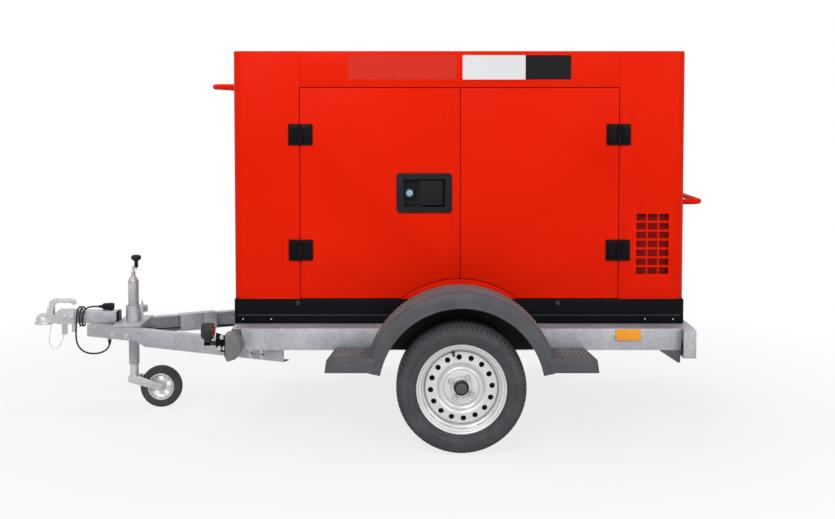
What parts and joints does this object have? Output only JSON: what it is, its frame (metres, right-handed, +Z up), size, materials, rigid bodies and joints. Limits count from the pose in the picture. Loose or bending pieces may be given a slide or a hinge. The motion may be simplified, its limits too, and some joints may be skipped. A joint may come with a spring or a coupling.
{
  "type": "towable diesel generator",
  "caption": "Canopied diesel generator set on a galvanised single-axle road trailer, with drawbar, ball coupling, jockey wheel, mudguards, side doors and grab handles.",
  "frame": {"origin": "on the ground, at the middle of the overall length and width", "axes": "+Z up; +X towards the tail, so the drawbar points to -X; +Y away from the door side"},
  "size_m": [3.015, 1.58, 1.621],
  "materials": {
    "galvanised": "hot-dip galvanised, spangled",
    "zinc_plate": "zinc plated",
    "red_paint": "gloss powder coat",
    "black_paint": "satin paint",
    "black_plastic": "moulded, satin",
    "grey_plastic": "moulded, dimpled steps",
    "rubber": "moulded rubber",
    "tyre": "ribbed tread",
    "wheel_silver": "silver enamel",
    "cast_alloy": "as cast",
    "engine_paint": "painted castings",
    "radiator_core": "painted core",
    "battery_case": "moulded",
    "stop_red": "moulded",
    "lead_sheath": "smooth sheath",
    "wire_rope": "stranded, coated"
  },
  "bodies": {
    "chassis": {"side_rail_left": "galvanised", "side_rail_right": "galvanised", "front_cross_member": "galvanised", "middle_cross_member": "galvanised", "rear_light_beam": "galvanised", "drawbar_arm_left": "galvanised", "drawbar_arm_right": "galvanised", "draw_tube": "galvanised", "jockey_bracket": "galvanised", "axle_beam": "galvanised", "coupling_head": "zinc_plate", "canopy_front_end": "red_paint", "canopy_rear_end": "red_paint", "roof_panel": "red_paint", "side_panel_right": "red_paint", "centre_post": "red_paint", "front_handle": "red_paint", "rear_handle": "red_paint", "skid_base": "black_paint", "hinge_front_upper": "black_paint", "hinge_front_lower": "black_paint", "hinge_rear_upper": "black_paint", "hinge_rear_lower": "black_paint", "radiator": "radiator_core", "trailer_plug": "black_plastic", "control_panel": "black_plastic", "fuel_tank": "black_plastic", "mudguard_left": "grey_plastic", "mudguard_right": "grey_plastic", "marker_lamp_left": "rubber", "marker_lamp_right": "rubber", "engine": "engine_paint", "alternator": "engine_paint", "battery": "battery_case", "trailer_lead": "lead_sheath", "safety_cable": "wire_rope"},
    "coupling_lever": {"coupling_lever": "zinc_plate"},
    "clamp_handle": {"clamp_handle": "zinc_plate"},
    "jockey_tube": {"jockey_outer_tube": "galvanised"},
    "jockey_crank": {"jockey_crank": "zinc_plate"},
    "crank_knob": {"crank_knob": "black_plastic"},
    "jockey_leg": {"jockey_inner_tube": "zinc_plate"},
    "jockey_fork": {"jockey_fork": "zinc_plate"},
    "jockey_wheel": {"jockey_rim": "wheel_silver", "jockey_tyre": "rubber"},
    "suspension_left": {"swing_arm_left": "cast_alloy"},
    "suspension_right": {"swing_arm_right": "cast_alloy"},
    "wheel_left": {"hub_left": "cast_alloy", "rim_left": "wheel_silver", "tyre_left": "tyre"},
    "wheel_right": {"hub_right": "cast_alloy", "rim_right": "wheel_silver", "tyre_right": "tyre"},
    "door_front": {"door_front": "red_paint", "latch_tray": "black_plastic"},
    "door_rear": {"door_rear": "red_paint"},
    "latch_paddle": {"latch_paddle": "black_plastic"},
    "lock_cylinder": {"lock_cylinder": "zinc_plate"},
    "estop_button": {"estop_button": "stop_red"},
    "cooling_fan": {"cooling_fan": "black_plastic"}
  },
  "joints": [
    {"name": "coupling_lever_lift", "type": "hinge", "parent": "chassis", "child": "coupling_lever", "pos_m": [-1.4315, 0, 0.452], "axis": [0, -1, 0], "range_deg": [0, 60]},
    {"name": "clamp_handle_turn", "type": "hinge", "parent": "chassis", "child": "clamp_handle", "pos_m": [-0.9995, 0, 0.4573], "axis": [0, 1, 0], "range_deg": [0, 270]},
    {"name": "jockey_clamp_slide", "type": "slide", "parent": "chassis", "child": "jockey_tube", "axis": [0, 0, 1], "range_m": [0, 0.055]},
    {"name": "jockey_crank_turn", "type": "hinge", "parent": "jockey_tube", "child": "jockey_crank", "pos_m": [-1.0495, 0, 0.652], "axis": [0, 0, 1], "continuous": true},
    {"name": "crank_knob_spin", "type": "hinge", "parent": "jockey_crank", "child": "crank_knob", "pos_m": [-1.019, -0.06852, 0.652], "axis": [0, 0, 1], "continuous": true},
    {"name": "jockey_leg_screw", "type": "slide", "parent": "jockey_tube", "child": "jockey_leg", "axis": [0, 0, 1], "range_m": [-0.05, 0.048]},
    {"name": "jockey_fork_swivel", "type": "hinge", "parent": "jockey_leg", "child": "jockey_fork", "pos_m": [-1.0495, 0, 0.15], "axis": [0, 0, 1], "continuous": true},
    {"name": "jockey_wheel_spin", "type": "hinge", "parent": "jockey_fork", "child": "jockey_wheel", "pos_m": [-0.9245, 0, 0.095], "axis": [0, 1, 0], "continuous": true},
    {"name": "suspension_left_swing", "type": "hinge", "parent": "chassis", "child": "suspension_left", "pos_m": [0.2975, -0.485, 0.33], "axis": [0, 1, 0], "range_deg": [-12, 8], "stiffness_Nm_per_rad": 2500, "springref_deg": 11.46},
    {"name": "suspension_right_swing", "type": "hinge", "parent": "chassis", "child": "suspension_right", "pos_m": [0.2975, 0.485, 0.33], "axis": [0, 1, 0], "range_deg": [-12, 8], "stiffness_Nm_per_rad": 2500, "springref_deg": 11.46},
    {"name": "wheel_left_spin", "type": "hinge", "parent": "suspension_left", "child": "wheel_left", "pos_m": [0.4375, -0.6825, 0.2625], "axis": [0, 1, 0], "continuous": true},
    {"name": "wheel_right_spin", "type": "hinge", "parent": "suspension_right", "child": "wheel_right", "pos_m": [0.4375, 0.6825, 0.2625], "axis": [0, 1, 0], "continuous": true},
    {"name": "door_front_swing", "type": "hinge", "parent": "chassis", "child": "door_front", "pos_m": [-0.2335, -0.458, 1.02], "axis": [0, 0, -1], "range_deg": [0, 120]},
    {"name": "door_rear_swing", "type": "hinge", "parent": "chassis", "child": "door_rear", "pos_m": [1.1095, -0.458, 1.02], "axis": [0, 0, 1], "range_deg": [0, 120]},
    {"name": "latch_paddle_pull", "type": "hinge", "parent": "door_front", "child": "latch_paddle", "pos_m": [0.363, -0.442, 1.0245], "axis": [0, 0, 1], "range_deg": [0, 45], "stiffness_Nm_per_rad": 0.5},
    {"name": "lock_cylinder_turn", "type": "hinge", "parent": "door_front", "child": "lock_cylinder", "pos_m": [0.228, -0.4235, 1.0245], "axis": [0, 1, 0], "range_deg": [0, 90]},
    {"name": "estop_press", "type": "slide", "parent": "chassis", "child": "estop_button", "axis": [0, -1, 0], "range_m": [0, 0.005]},
    {"name": "cooling_fan_spin", "type": "hinge", "parent": "chassis", "child": "cooling_fan", "pos_m": [-0.3345, 0, 0.93], "axis": [1, 0, 0], "continuous": true}
  ],
  "couplings": [
    {"joint": "jockey_crank_turn", "follows": "jockey_leg_screw", "rad_per_m": 1570.8}
  ]
}
